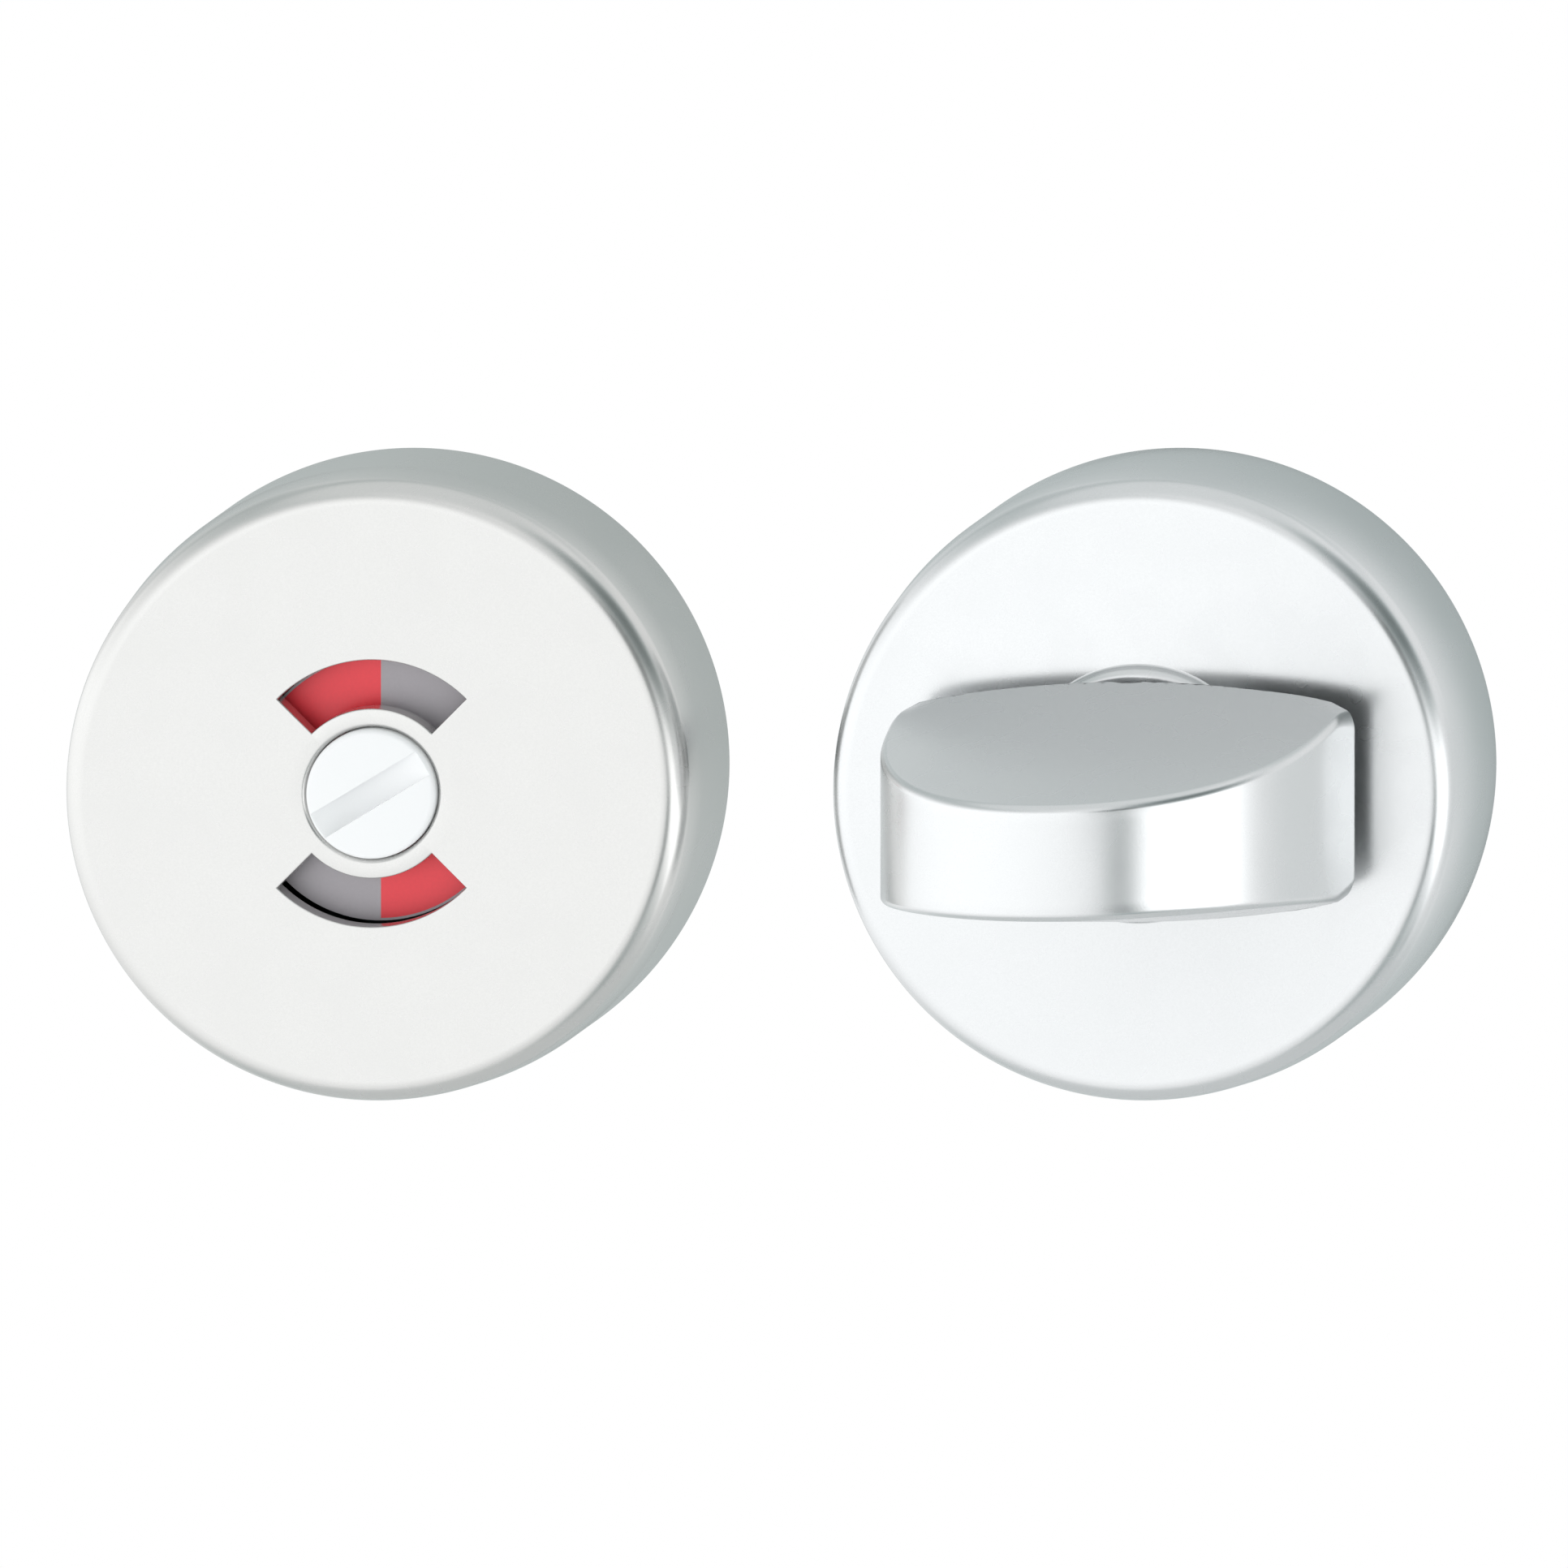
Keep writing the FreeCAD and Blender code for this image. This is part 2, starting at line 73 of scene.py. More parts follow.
# Rose covers
face_r = 23.8
edge_round = 1.9
band_slope_deg = 8.0
back_edge_round = 0.15
cavity_r = 24.6
inner_h = 8.8

# Turn cover's collar
collar_r = 10.55
collar_round = 0.75
collar_foot = 0.2
bush_hole_r = 8.25

# Release cover's windows and button hole
window_r_in = 7.0
window_r_out = 11.0
window_middles_deg = (90, 270)
window_half_deg = 45
window_edge = 0.12
button_hole_r = 5.45
button_hole_round = 0.4

# Thumb turn's body
turn_back = 12.6
turn_arch_shift = 0.9
turn_crown_r = turn_half_length + turn_arch_shift
turn_shoulder_r = turn_half_length - turn_arch_shift
turn_foot_lean_deg = 8.0
turn_bow = 1.75
turn_taper = 0.256
turn_corner_r = 2.6
turn_corner_over = 0.15
turn_corner_rise = 0.2
turn_corner_deg = 75.0
turn_corner_blend = 0.12
ridge_round = 0.6
base_round = 0.35

# Its neck, with the snap ring's groove, the spindle's socket and the cross pin's hole
shoulder_r = 8.6
shoulder_back = 11.1
neck_r = 7.0
neck_end = 1.5
neck_sunk = 0.5
ring_groove_r = 6.35
ring_groove_from = 5.65
ring_groove_to = 6.75
socket_side = 8.0
socket_top = 20.6
pin_hole_h = 3.0
pin_hole_r = 1.02

# Button
button_r = 5.35
button_dome = 0.12
button_round = 0.4
button_flange_r = 6.4
button_flange_front = 8.5
button_flange_back = 7.8
button_stem_r = 2.9
button_stem_end = 5.7
slot_w = 2.3
slot_depth = 1.7
slot_cutter_r = 9.0
slot_angle_deg = 31.0
slot_edge = 0.08

# Edges that turn by more than this are corners
corner_deg = 50

# Steps in a full turn
rose_around = 360
neck_around = 96
button_around = 192
pin_hole_around = 32
slot_cutter_around = 256


def place(x, y, h, centre_x):
    """From lathe millimetres to the frame in metres."""
    return (centre_x + x * MM, -h * MM, y * MM)


def arc(centre_r, centre_h, radius, from_deg, to_deg, steps):
    """Points of a round stretch of an outline."""
    points = []
    for i in range(steps + 1):
        a = math.radians(from_deg + (to_deg - from_deg) * i / steps)
        points.append((centre_r + radius * math.cos(a), centre_h + radius * math.sin(a)))
    return points


def shade(mesh, sharp_deg):
    """Smooth shading that stays crisp at its corners."""
    mesh.shade_smooth()
    mesh.set_sharp_from_angle(angle=math.radians(sharp_deg))


def finish_mesh(name, mesh, sharp_deg=35.0):
    """A shaded object from a mesh."""
    mesh.update()
    mesh.validate()
    obj = bpy.data.objects.new(name, mesh)
    bpy.context.scene.collection.objects.link(obj)
    shade(mesh, sharp_deg)
    return obj


def weigh_normals(obj):
    """Lets the large faces rule the shading, so that they look flat up to their edges."""
    weighted = obj.modifiers.new("even shading", "WEIGHTED_NORMAL")
    weighted.keep_sharp = True
    weighted.weight = 80


def outward(mesh):
    """Turns all faces to look out of the solid."""
    bm = bmesh.new()
    bm.from_mesh(mesh)
    bmesh.ops.recalc_face_normals(bm, faces=bm.faces)
    bm.to_mesh(mesh)
    bm.free()


def bar(name, sides, radius, length, where):
    """A straight bar to cut with: round with many sides, square with four."""
    mesh = bpy.data.meshes.new(name)
    bm = bmesh.new()
    bmesh.ops.create_cone(
        bm,
        cap_ends=True,
        segments=sides,
        radius1=radius * MM,
        radius2=radius * MM,
        depth=length * MM,
        matrix=where,
    )
    bm.to_mesh(mesh)
    bm.free()
    return mesh


def carve(obj, steps, soft_edge=0.0):
    """Joins or cuts with other meshes in turn, then softens the edges that are left."""
    tools = []
    for operation, mesh in steps:
        tool = bpy.data.objects.new(mesh.name, mesh)
        bpy.context.scene.collection.objects.link(tool)
        step = obj.modifiers.new(mesh.name, "BOOLEAN")
        step.operation = operation
        step.solver = "EXACT"
        step.object = tool
        tools.append(tool)
    if soft_edge:
        soften = obj.modifiers.new("soft edges", "BEVEL")
        soften.width = soft_edge * MM
        soften.segments = 2
        soften.limit_method = "ANGLE"
        soften.angle_limit = math.radians(corner_deg)
    bpy.context.view_layer.update()
    graph = bpy.context.evaluated_depsgraph_get()
    rough = obj.data
    finished = bpy.data.meshes.new_from_object(obj.evaluated_get(graph))
    obj.modifiers.clear()
    obj.data = finished
    bpy.data.meshes.remove(rough)
    finished.name = obj.name
    for tool in tools:
        mesh = tool.data
        bpy.data.objects.remove(tool)
        bpy.data.meshes.remove(mesh)


def lathe_mesh(name, section, centre_x, steps=rose_around):
    """A closed outline turned round the axis. Returns the mesh and the index of each point."""
    on_axis = 1e-6
    count = len(section)
    verts = []
    index = np.zeros((steps, count), int)
    for j, (r, h) in enumerate(section):
        if r < on_axis:
            index[:, j] = len(verts)
            verts.append(place(0, 0, h, centre_x))
    for i in range(steps):
        a = 2 * math.pi * i / steps
        for j, (r, h) in enumerate(section):
            if r >= on_axis:
                index[i, j] = len(verts)
                verts.append(place(r * math.cos(a), r * math.sin(a), h, centre_x))
    faces = []
    for i in range(steps):
        k = (i + 1) % steps
        for j in range(count):
            m = (j + 1) % count
            corners = [index[i, j], index[k, j], index[k, m], index[i, m]]
            faces.append([int(c) for n, c in enumerate(corners) if c not in corners[:n]])
    faces = [f for f in faces if len(f) > 2]
    mesh = bpy.data.meshes.new(name)
    mesh.from_pydata(verts, [], faces)
    return mesh, index


def cover_section(middle):
    """Outline of a cover: back edge, wall, band and edge, then its middle, and back on the inside."""
    slope = band_slope_deg
    edge = arc(face_r, rose_h - edge_round, edge_round, slope, 90, 12)
    band_top_r, band_top_h = edge[0]
    band_foot = band_top_h - (rose_r - band_top_r) / math.tan(math.radians(slope))
    back_edge = arc(rose_r - back_edge_round, back_edge_round, back_edge_round, -90, 0, 3)
    inside = [(cavity_r, inner_h), (cavity_r, 0)]
    return back_edge + [(rose_r, band_foot)] + edge + middle + inside


def turn_cover_skin():
    """The turn's cover, with the collar that the neck comes out of."""
    foot = arc(collar_r + collar_foot, rose_h + collar_foot, collar_foot, 270, 180, 4)
    edge = arc(collar_r - collar_round, collar_top - collar_round, collar_round, 0, 90, 5)
    middle = foot + edge + [(bush_hole_r, collar_top), (bush_hole_r, inner_h)]
    mesh, _ = lathe_mesh("turn_rose_skin", cover_section(middle), 0.0)
    outward(mesh)
    return finish_mesh("turn_rose_skin", mesh)


def in_window(i):
    """Whether the step from segment i lies in one of the two windows."""
    middle_deg = (i + 0.5) * 360.0 / rose_around
    return any(abs(middle_deg - w) < window_half_deg for w in window_middles_deg)


def open_windows(bm, front_out, front_in, back_in, back_out):
    """Takes the faces out of both windows and walls them. The rings are lists of corners round the
    axis. Returns the windows' front edges.
    """
    gone = []
    for i in range(rose_around):
        if in_window(i):
            k = (i + 1) % rose_around
            for near, far in ((front_out, front_in), (back_in, back_out)):
                gone.append(bm.faces.get([near[i], near[k], far[k], far[i]]))
    bmesh.ops.delete(bm, geom=gone, context="FACES_ONLY")
    bmesh.ops.delete(bm, geom=[e for e in bm.edges if not e.link_faces], context="EDGES")
    rim = []
    for i in range(rose_around):
        k = (i + 1) % rose_around
        if in_window(i):
            for front, back in ((front_out, back_out), (front_in, back_in)):
                bm.faces.new([front[i], front[k], back[k], back[i]])
                rim.append((front[i], front[k]))
        if in_window(i) != in_window(k):
            bm.faces.new([front_out[k], front_in[k], back_in[k], back_out[k]])
            rim.append((front_out[k], front_in[k]))
    return [bm.edges.get(pair) for pair in rim]


def release_cover_skin():
    """The release cover, with its two arc windows and the button's hole."""
    hole_r = button_hole_r + button_hole_round
    hole = arc(hole_r, rose_h - button_hole_round, button_hole_round, 90, 180, 6)
    front = [(window_r_out, rose_h), (window_r_in, rose_h)]
    back = [(window_r_in, inner_h), (window_r_out, inner_h)]
    section = cover_section(front + hole + [(button_hole_r, inner_h)] + back)
    mesh, index = lathe_mesh("release_rose_skin", section, release_x)
    bm = bmesh.new()
    bm.from_mesh(mesh)
    bm.verts.ensure_lookup_table()
    rings = [[bm.verts[int(n)] for n in index[:, section.index(point)]] for point in front + back]
    rim = open_windows(bm, *rings)
    bmesh.ops.recalc_face_normals(bm, faces=bm.faces)
    bmesh.ops.bevel(bm, geom=rim, offset=window_edge * MM, segments=3, profile=0.5, affect="EDGES")
    bm.to_mesh(mesh)
    bm.free()
    obj = finish_mesh("release_rose_skin", mesh)
    weigh_normals(obj)
    return obj


def arch_line():
    """The turn seen from above: points (x, z) and the angle of the surface there, z from its back.

    Each half is a straight leaning foot, a shoulder arc and the flatter crown arc, all tangent.
    """
    foot_steps = 10
    shoulder_steps = 56
    crown_steps = 12
    lean = math.radians(turn_foot_lean_deg)
    crown_z = turn_front - turn_back - turn_crown_r
    level_x = turn_half_length - turn_shoulder_r * math.cos(lean)
    level_z = -turn_shoulder_r * math.sin(lean)
    away_z = level_z - crown_z
    back = away_z * math.cos(lean) - level_x * math.sin(lean)
    inner_r = turn_crown_r - turn_shoulder_r
    knee = math.sqrt(back**2 - level_x**2 - away_z**2 + inner_r**2) - back
    shoulder_x = level_x - knee * math.sin(lean)
    shoulder_z = level_z + knee * math.cos(lean)
    meet = math.atan2(shoulder_z - crown_z, shoulder_x)
    points = []
    for i in range(foot_steps):
        up = knee * i / foot_steps
        points.append((turn_half_length - up * math.sin(lean), up * math.cos(lean), lean))
    for i in range(shoulder_steps):
        a = lean + (meet - lean) * i / shoulder_steps
        x = shoulder_x + turn_shoulder_r * math.cos(a)
        points.append((x, shoulder_z + turn_shoulder_r * math.sin(a), a))
    for i in range(crown_steps + 1):
        a = meet + (math.pi / 2 - meet) * i / crown_steps
        points.append((turn_crown_r * math.cos(a), crown_z + turn_crown_r * math.sin(a), a))
    left = [(-x, z, math.pi - a) for x, z, a in reversed(points[:-1])]
    return points + left


def turn_half_height(x, z):
    """Half the turn's thickness at a place in its side face: a bowed wedge with rounded corners."""
    bow_r = (turn_half_length**2 + turn_bow**2) / (2 * turn_bow)
    wedge = turn_half_thick - bow_r + math.sqrt(bow_r**2 - x * x) - turn_taper * z
    lean = math.radians(turn_corner_deg)
    centre_x = turn_half_length + turn_corner_over - turn_corner_r
    centre_y = turn_half_thick - turn_bow - turn_corner_r + turn_corner_rise
    tip = centre_x + turn_corner_r * math.cos(lean)
    out = abs(x)
    if out > tip:
        corner = centre_y + math.sqrt(max(turn_corner_r**2 - (out - centre_x) ** 2, 0.0))
    else:
        corner = centre_y + turn_corner_r * math.sin(lean) + (tip - out) / math.tan(lean)
    gap = corner - wedge
    return (corner + wedge - math.sqrt(gap * gap + turn_corner_blend**2)) / 2


def turn_row(x, z, angle, inward, rounds, across):
    """Points of one cut through the turn: out along its upper wall, over the arch from ridge to ridge,
    and back in along the lower wall.
    """
    nx, nz = math.cos(angle), math.sin(angle)
    upper = []
    for i in range(inward):
        share = i / inward
        px = (x - nx * ridge_round) * share
        pz = max(z - nz * ridge_round, 0.0) * share
        upper.append((px, turn_half_height(px, pz), pz))
    for i in range(rounds + 1):
        phi = math.pi / 2 * (1 - i / rounds)
        back = ridge_round * (1 - math.cos(phi))
        drop = ridge_round * (1 - math.sin(phi))
        px = x - nx * back
        pz = max(z - nz * back, 0.0)
        upper.append((px, turn_half_height(px, pz) - drop, pz))
    top = upper[-1][1]
    front = [(x, top * (1 - 2 * i / across), z) for i in range(1, across)]
    lower = [(px, -py, pz) for px, py, pz in reversed(upper)]
    return upper + front + lower


def turn_body():
    """The thumb turn without its neck: an arched, bowed wedge that ends flat at its back."""
    inward = 14
    rounds = 6
    across = 10
    verts = []
    rows = []
    for x, z, angle in arch_line():
        row = turn_row(x, z, angle, inward, rounds, across)
        start = len(verts)
        verts += [place(px, py, turn_back + pz, 0.0) for px, py, pz in row]
        rows.append(list(range(start, start + len(row))))
    faces = []
    for a, b in zip(rows, rows[1:]):
        for i in range(len(a) - 1):
            faces.append([a[i], b[i], b[i + 1], a[i + 1]])
    width = len(rows[0])
    last = inward + rounds - 1
    for row in (rows[0], rows[-1]):
        for i in range(last):
            faces.append([row[i], row[i + 1], row[width - 2 - i], row[width - 1 - i]])
        faces.append(row[last : width - last])
    mesh = bpy.data.meshes.new("thumb_turn_skin")
    mesh.from_pydata(verts, [], faces)
    bm = bmesh.new()
    bm.from_mesh(mesh)
    bmesh.ops.remove_doubles(bm, verts=bm.verts, dist=1e-6)
    bmesh.ops.dissolve_degenerate(bm, edges=bm.edges, dist=1e-7)
    bmesh.ops.recalc_face_normals(bm, faces=bm.faces)
    base = []
    for e in bm.edges:
        if len(e.link_faces) == 2:
            at_back = all(abs(p.co.y + turn_back * MM) < 1e-6 for p in e.verts)
            if at_back and e.calc_face_angle(0.0) > math.radians(corner_deg):
                base.append(e)
    bmesh.ops.bevel(bm, geom=base, offset=base_round * MM, segments=3, profile=0.5, affect="EDGES")
    bm.to_mesh(mesh)
    bm.free()
    return mesh


def turn_neck():
    """The round neck with the snap ring's groove. Its shoulder reaches a little into the body."""
    section = [
        (0.0, turn_back + neck_sunk),
        (shoulder_r, turn_back + neck_sunk),
        (shoulder_r, shoulder_back),
        (neck_r, shoulder_back),
        (neck_r, ring_groove_to),
        (ring_groove_r, ring_groove_to),
        (ring_groove_r, ring_groove_from),
        (neck_r, ring_groove_from),
        (neck_r, neck_end),
        (0.0, neck_end),
    ]
    neck, _ = lathe_mesh("neck", section, 0.0, neck_around)
    outward(neck)
    return neck


def turn_skin():
    """The thumb turn: body and neck in one, with the spindle's socket and the cross pin's hole."""
    quarter = math.radians(90)
    obj = finish_mesh("thumb_turn_skin", turn_body())
    neck = turn_neck()
    on_axis = Matrix.Translation((0, -neck_end * MM, 0)) @ Matrix.Rotation(quarter, 4, "X")
    square = on_axis @ Matrix.Rotation(quarter / 2, 4, "Z")
    across_neck = Matrix.Translation((0, -pin_hole_h * MM, 0)) @ Matrix.Rotation(quarter, 4, "Y")
    socket_length = 2 * (socket_top - neck_end)
    socket = bar("socket", 4, socket_side / math.sqrt(2), socket_length, square)
    pin_hole = bar("pin_hole", pin_hole_around, pin_hole_r, 3 * neck_r, across_neck)
    carve(obj, [("UNION", neck), ("DIFFERENCE", socket), ("DIFFERENCE", pin_hole)])
    shade(obj.data, 40.0)
    weigh_normals(obj)
    return obj


def button_skin():
    """The white button with its coin slot, cut by a disc as a saw would."""
    dome_steps = 8
    dome_r = (button_r**2 + button_dome**2) / (2 * button_dome)
    crown = []
    for i in range(dome_steps + 1):
        r = (button_r - button_round) * i / dome_steps
        crown.append((r, button_front - dome_r + math.sqrt(dome_r**2 - r * r)))
    edge_h = crown[-1][1]
    edge = arc(button_r - button_round, edge_h - button_round, button_round, 90, 0, 6)[1:]
    back = [
        (button_r, button_flange_front),
        (button_flange_r, button_flange_front),
        (button_flange_r, button_flange_back),
        (button_stem_r, button_flange_back),
        (button_stem_r, button_stem_end),
        (0.0, button_stem_end),
    ]
    mesh, _ = lathe_mesh("release_button_skin", crown + edge + back, release_x, button_around)
    outward(mesh)
    obj = finish_mesh("release_button_skin", mesh)
    a = math.radians(slot_angle_deg)
    across = Vector((-math.sin(a), 0.0, math.cos(a)))
    along = Vector((math.cos(a), 0.0, math.sin(a)))
    turned = Matrix((along, across.cross(along), across)).transposed().to_4x4()
    cutter_h = button_front - slot_depth + slot_cutter_r
    where = Matrix.Translation((release_x, -cutter_h * MM, 0)) @ turned
    cutter = bar("slot", slot_cutter_around, slot_cutter_r, slot_w, where)
    carve(obj, [("DIFFERENCE", cutter)], slot_edge)
    shade(obj.data, 35.0)
    weigh_normals(obj)
    return obj


def link(tree, a, b):
    """Joins the output a to the input b of a material's nodes."""
    tree.links.new(a, b)


def noise(tree, where, size_mm, detail):
    """The output of a noise with spots of about the given size."""
    node = tree.nodes.new("ShaderNodeTexNoise")
    node.inputs["Scale"].default_value = 1.0 / (size_mm * MM)
    node.inputs["Detail"].default_value = detail
    link(tree, where.outputs["Object"], node.inputs["Vector"])
    return node.outputs["Fac"]


def grained(name, colour, metallic, roughness, spread, grain_mm, bump, tint=0.02):
    """A surface with fine grain: colour, roughness and relief vary a little from place to place."""
    low, high = 0.3, 0.7
    mat = bpy.data.materials.new(name)
    mat.use_nodes = True
    tree = mat.node_tree
    shader = tree.nodes["Principled BSDF"]
    shader.inputs["Metallic"].default_value = metallic
    where = tree.nodes.new("ShaderNodeTexCoord")
    grain = noise(tree, where, grain_mm, 3.0)
    cloud = noise(tree, where, 40 * grain_mm, 2.0)
    ramp = tree.nodes.new("ShaderNodeValToRGB")
    dark, light = ramp.color_ramp.elements
    dark.position = low
    dark.color = (*[c * (1 - tint) for c in colour], 1)
    light.position = high
    light.color = (*[min(c * (1 + tint), 1.0) for c in colour], 1)
    link(tree, grain, ramp.inputs["Fac"])
    link(tree, ramp.outputs["Color"], shader.inputs["Base Color"])
    rough = tree.nodes.new("ShaderNodeMapRange")
    rough.inputs["From Min"].default_value = low
    rough.inputs["From Max"].default_value = high
    rough.inputs["To Min"].default_value = roughness - spread
    rough.inputs["To Max"].default_value = roughness + spread
    link(tree, cloud, rough.inputs["Value"])
    link(tree, rough.outputs["Result"], shader.inputs["Roughness"])
    relief = tree.nodes.new("ShaderNodeBump")
    relief.inputs["Strength"].default_value = 1.0
    relief.inputs["Distance"].default_value = bump * MM
    link(tree, grain, relief.inputs["Height"])
    link(tree, relief.outputs["Normal"], shader.inputs["Normal"])
    return mat


# Materials: colour, metallic, roughness and its spread, size and relief of the grain in mm, tint.
# The release rose's aluminium is the same satin metal painted a little warmer and darker than its turn
# rose: painted shade for the dimmer, warmer light that fell on it, not a different batch.
satin = (1.0, 0.27, 0.02, 0.12, 0.0018)
finishes = {
    "satin_aluminium": grained("satin aluminium", (0.70, 0.71, 0.715), *satin),
    "shaded_warm_aluminium": grained("satin aluminium, painted shade copy", (0.655, 0.652, 0.64), *satin),
    "white_plastic": grained("white plastic", (0.95, 0.955, 0.96), 0.0, 0.35, 0.03, 0.2, 0.002, 0.005),
    "indicator_grey": grained("indicator grey", (0.42, 0.395, 0.42), 0.0, 0.45, 0.05, 0.3, 0.003),
    "indicator_red": grained("indicator red", (0.92, 0.055, 0.075), 0.0, 0.4, 0.05, 0.3, 0.003),
    "nylon": grained("dark nylon", (0.014, 0.03, 0.026), 0.0, 0.5, 0.06, 0.25, 0.01, 0.1),
    "bearing_nylon": grained("natural nylon", (0.8, 0.79, 0.74), 0.0, 0.45, 0.05, 0.25, 0.004),
    "steel": grained("zinc plated steel", (0.62, 0.63, 0.65), 1.0, 0.32, 0.06, 0.4, 0.006, 0.05),
    "spring_steel": grained("spring steel", (0.22, 0.22, 0.23), 1.0, 0.35, 0.06, 0.3, 0.005, 0.08),
    "cast_zinc": grained("cast zinc", (0.5, 0.51, 0.53), 1.0, 0.45, 0.06, 0.5, 0.02, 0.06),
    "insert_brass": grained("plain brass", (0.78, 0.58, 0.28), 1.0, 0.3, 0.05, 0.3, 0.005, 0.05),
}


def dress(obj, finish):
    """Gives an object one of the finishes."""
    obj.data.materials.clear()
    obj.data.materials.append(finishes[finish])


for part in frame["record"]["subparts"]:
    dress(nodes[part["node"]], part["material_slot"])

# Skins with finer roundings, in place of both covers, the turn and the button
turn_rose = turn_cover_skin()
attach(turn_rose, "roses")
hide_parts("turn_cover")
dress(turn_rose, "satin_aluminium")

release_rose = release_cover_skin()
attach(release_rose, "roses")
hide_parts("release_cover")
# The release rose gets the copy of the satin aluminium that is painted darker and warmer as painted
# shade.
dress(release_rose, "shaded_warm_aluminium")

turn = turn_skin()
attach(turn, "turn")
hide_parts("thumb_turn")
dress(turn, "satin_aluminium")

button = button_skin()
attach(button, "release")
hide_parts("release_button")
dress(button, "white_plastic")


# Floor: pale and plain, well below the set
floor_h = -0.5
floor_half = 0.35
floor_corners = [
    (-floor_half, -floor_half, floor_h),
    (floor_half, -floor_half, floor_h),
    (floor_half, floor_half, floor_h),
    (-floor_half, floor_half, floor_h),
]
floor_mesh = bpy.data.meshes.new("floor")
floor_mesh.from_pydata(floor_corners, [], [[0, 1, 2, 3]])
floor = finish_mesh("floor", floor_mesh)
floor.data.materials.append(grained("pale floor", (0.9, 0.9, 0.9), 0.0, 0.7, 0.05, 3.0, 0.01, 0.005))

# Light tent round the set: bright in front, grey above and behind
tent_radius = 2.0
tent_base = 0.8
tent_level = 1.26
tent_dim_tint = (0.78, 0.98, 0.97, 1)
tent_bright_tint = (0.985, 0.995, 1.0, 1)


def toward(azimuth_deg, elevation_deg):
    """Unit direction: azimuth 0 is straight out of the door, 90 to the right."""
    a, e = math.radians(azimuth_deg), math.radians(elevation_deg)
    return Vector((math.sin(a) * math.cos(e), -math.cos(a) * math.cos(e), math.sin(e)))


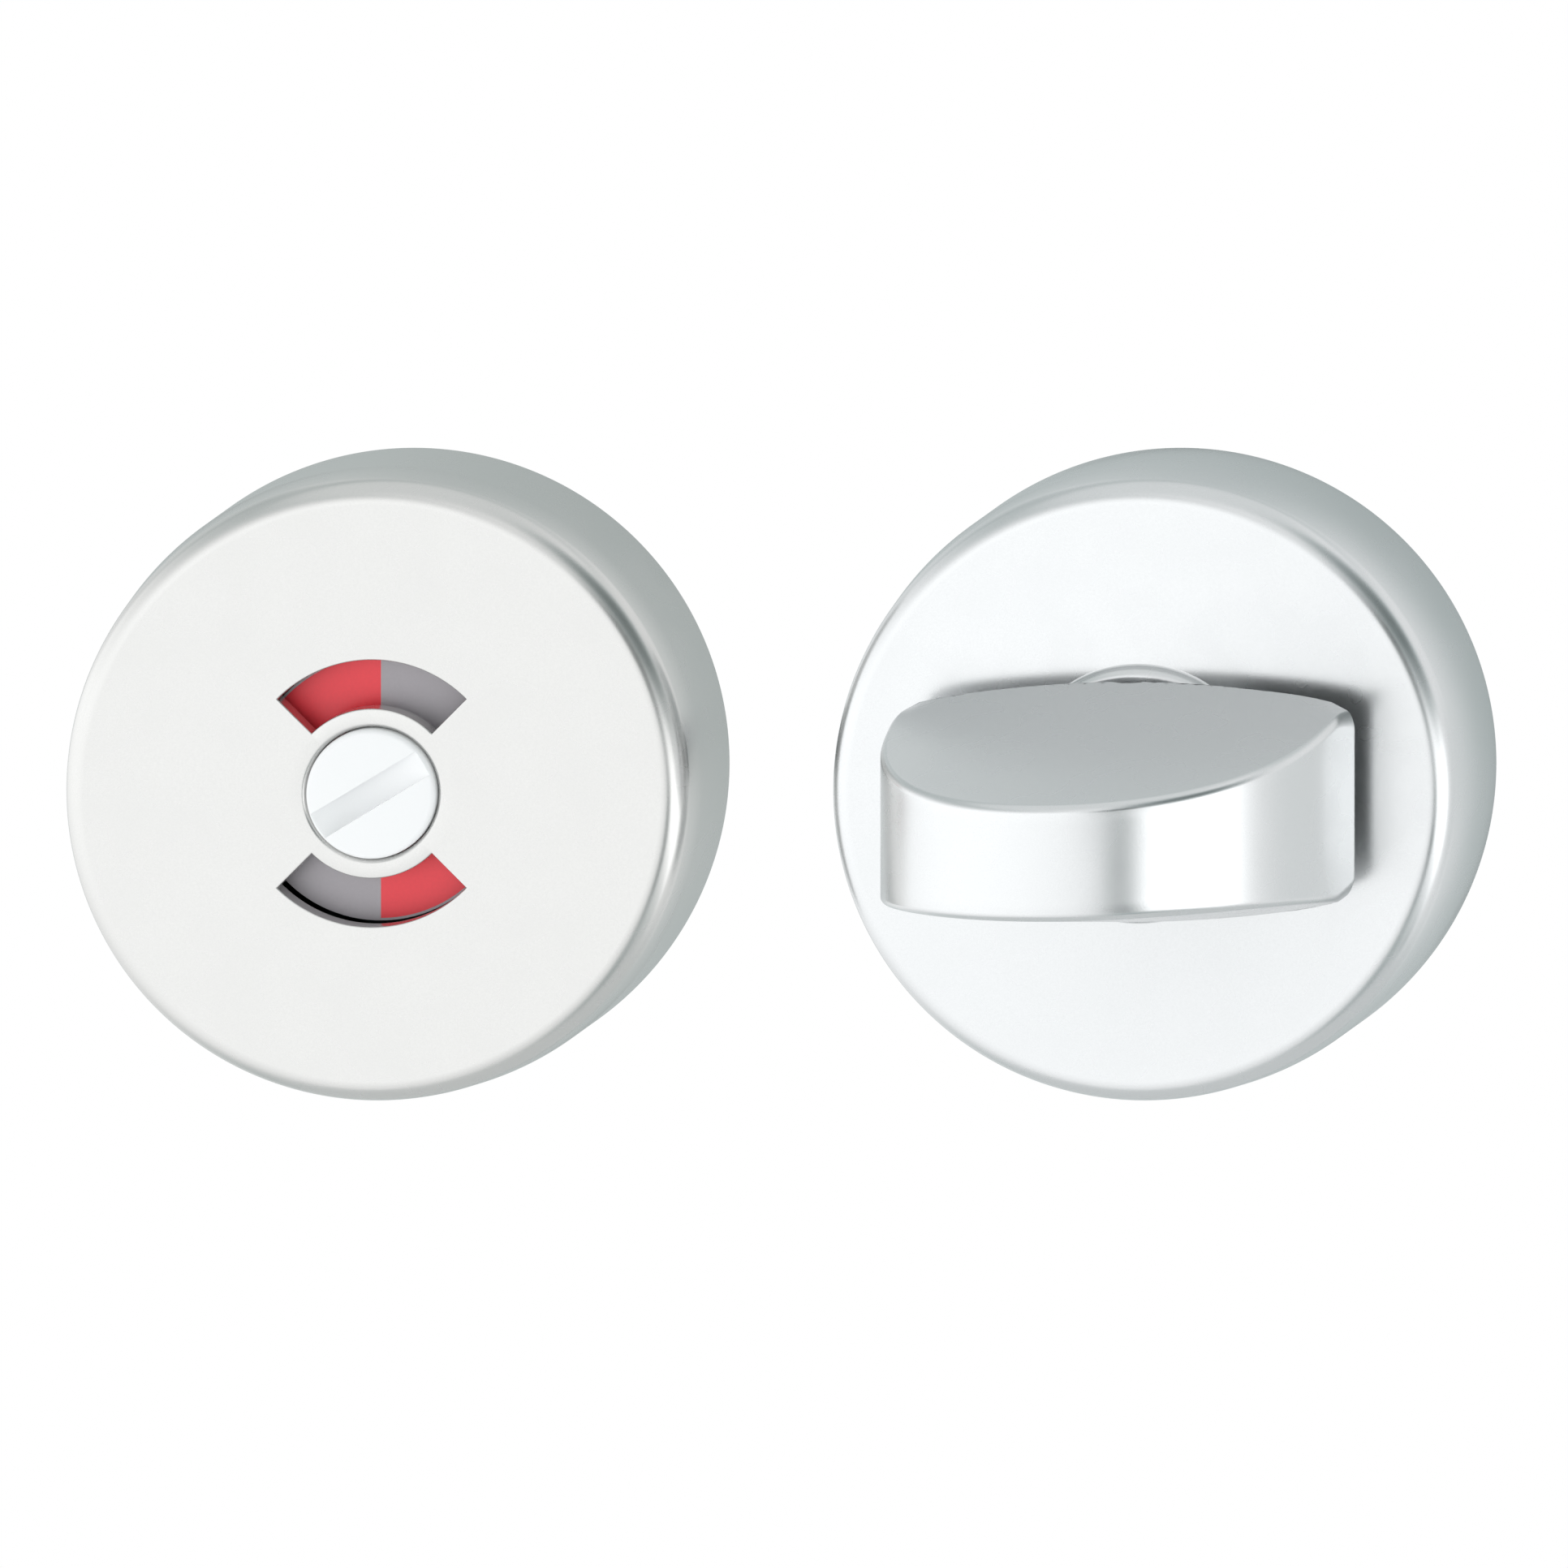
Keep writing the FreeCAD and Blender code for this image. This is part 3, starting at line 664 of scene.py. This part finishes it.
def tent_material():
    """A glow that depends only on the direction from the middle of the tent."""
    mat = bpy.data.materials.new("light tent")
    mat.use_nodes = True
    tree = mat.node_tree
    tree.nodes.clear()
    out = tree.nodes.new("ShaderNodeOutputMaterial")
    glow = tree.nodes.new("ShaderNodeEmission")
    link(tree, glow.outputs["Emission"], out.inputs["Surface"])
    where = tree.nodes.new("ShaderNodeTexCoord")
    unit = tree.nodes.new("ShaderNodeVectorMath")
    unit.operation = "NORMALIZE"
    link(tree, where.outputs["Object"], unit.inputs[0])

    def math_node(operation, a, b):
        """The output of a sum or product of two values or outputs."""
        node = tree.nodes.new("ShaderNodeMath")
        node.operation = operation
        for socket, value in zip(node.inputs, (a, b)):
            if isinstance(value, (int, float)):
                socket.default_value = value
            else:
                link(tree, value, socket)
        return node.outputs[0]

    def lobe(direction, full_deg, none_deg):
        """1 within full_deg of a direction, falling softly to 0 at none_deg."""
        dot = tree.nodes.new("ShaderNodeVectorMath")
        dot.operation = "DOT_PRODUCT"
        link(tree, unit.outputs[0], dot.inputs[0])
        dot.inputs[1].default_value = direction
        soft = tree.nodes.new("ShaderNodeMapRange")
        soft.interpolation_type = "SMOOTHSTEP"
        soft.inputs["From Min"].default_value = math.cos(math.radians(none_deg))
        soft.inputs["From Max"].default_value = math.cos(math.radians(full_deg))
        link(tree, dot.outputs["Value"], soft.inputs["Value"])
        return soft.outputs["Result"]

    def add(level, amount, direction, full_deg, none_deg):
        """More light from one direction."""
        more = math_node("MULTIPLY", lobe(direction, full_deg, none_deg), amount)
        return math_node("ADD", level, more)

    def dim(level, share, direction, full_deg, none_deg):
        """Less light from one direction, by a share of what is there."""
        keep = math_node("MULTIPLY", lobe(direction, full_deg, none_deg), -share)
        return math_node("MULTIPLY", level, math_node("ADD", keep, 1.0))

    # White sheets: a wide one high on the left, a bright narrow one on the right, one overhead
    level = add(tent_base, 0.4, toward(-57, 44), 41, 109)
    level = add(level, 1.0, toward(53, -15), 8, 36)
    level = add(level, 0.54, toward(0, 72), 36, 46)
    # The dark camera, a dark corner above and beside it, and the stand below it
    level = dim(level, 0.95, toward(17, 6), 7, 15)
    level = dim(level, 0.82, toward(49, 25), 7, 39)
    level = dim(level, 0.91, toward(20, -20), 4, 12)
    level = dim(level, 0.54, toward(38, -45), 15, 28)
    # The dimmer ceiling, and the dim room behind, below and at both sides
    level = dim(level, 0.59, toward(-52, 72), 27, 76)
    level = dim(level, 0.46, toward(185, 4), 18, 54)
    level = dim(level, 0.45, toward(196, -79), 8, 55)
    level = dim(level, 0.32, toward(-120, 22), 14, 24)
    level = dim(level, 0.13, toward(118, -14), 8, 28)
    level = math_node("MULTIPLY", level, tent_level)
    link(tree, level, glow.inputs["Strength"])
    tint = tree.nodes.new("ShaderNodeValToRGB")
    tint.color_ramp.elements[0].color = tent_dim_tint
    tint.color_ramp.elements[1].color = tent_bright_tint
    link(tree, level, tint.inputs["Fac"])
    link(tree, tint.outputs["Color"], glow.inputs["Color"])
    return mat


tent_mesh = bpy.data.meshes.new("light_tent")
bm = bmesh.new()
bmesh.ops.create_icosphere(bm, subdivisions=4, radius=tent_radius)
bm.to_mesh(tent_mesh)
bm.free()
tent = finish_mesh("light_tent", tent_mesh, 180.0)
tent.data.materials.append(tent_material())
tent.data.materials[0].cycles.emission_sampling = "NONE"
tent.visible_camera = False

# White beyond the tent, which only the camera sees
world = bpy.data.worlds.new("white")
bpy.context.scene.world = world
world.use_nodes = True
world.node_tree.nodes["Background"].inputs["Color"].default_value = (1, 1, 1, 1)
world.node_tree.nodes["Background"].inputs["Strength"].default_value = 1.0

# Camera: the photo shows both rose faces as true circles, so its film lay parallel to the door while
# it looked in from the right and above. The slanted parallel view comes from a sheared parent.
photo_px = 1932
px_per_mm = 14.95
look_back = Vector((0.356, -1.0, 0.255)).normalized()
aim = Vector((-29.2, -rose_h, 0.8)) * MM
cam_away = 0.6

camera = bpy.data.cameras.new("camera")
camera.type = "ORTHO"
camera.ortho_scale = photo_px / px_per_mm * MM
camera.clip_start = 0.01
camera.clip_end = 10
eye = bpy.data.objects.new("camera", camera)
rig = bpy.data.objects.new("camera_rig", None)
for obj in (eye, rig):
    bpy.context.scene.collection.objects.link(obj)
# The wanted shear, split into a turn, a stretch along three axes (the rig) and a turn (the camera)
shear = np.array([[1, 0, look_back.x], [0, 0, look_back.y], [0, 1, look_back.z]])
u, stretch, vt = np.linalg.svd(shear)
if np.linalg.det(u) < 0:
    u, vt = -u, -vt
lean = Matrix(u.tolist()).to_4x4() @ Matrix.Diagonal((*stretch.tolist(), 1.0))
rig.matrix_world = Matrix.Translation(aim + look_back * cam_away) @ lean
eye.parent = rig
eye.rotation_mode = "QUATERNION"
eye.rotation_quaternion = Matrix(vt.tolist()).to_3x3().to_quaternion()
bpy.context.scene.camera = eye

bpy.context.scene.view_settings.view_transform = "Standard"
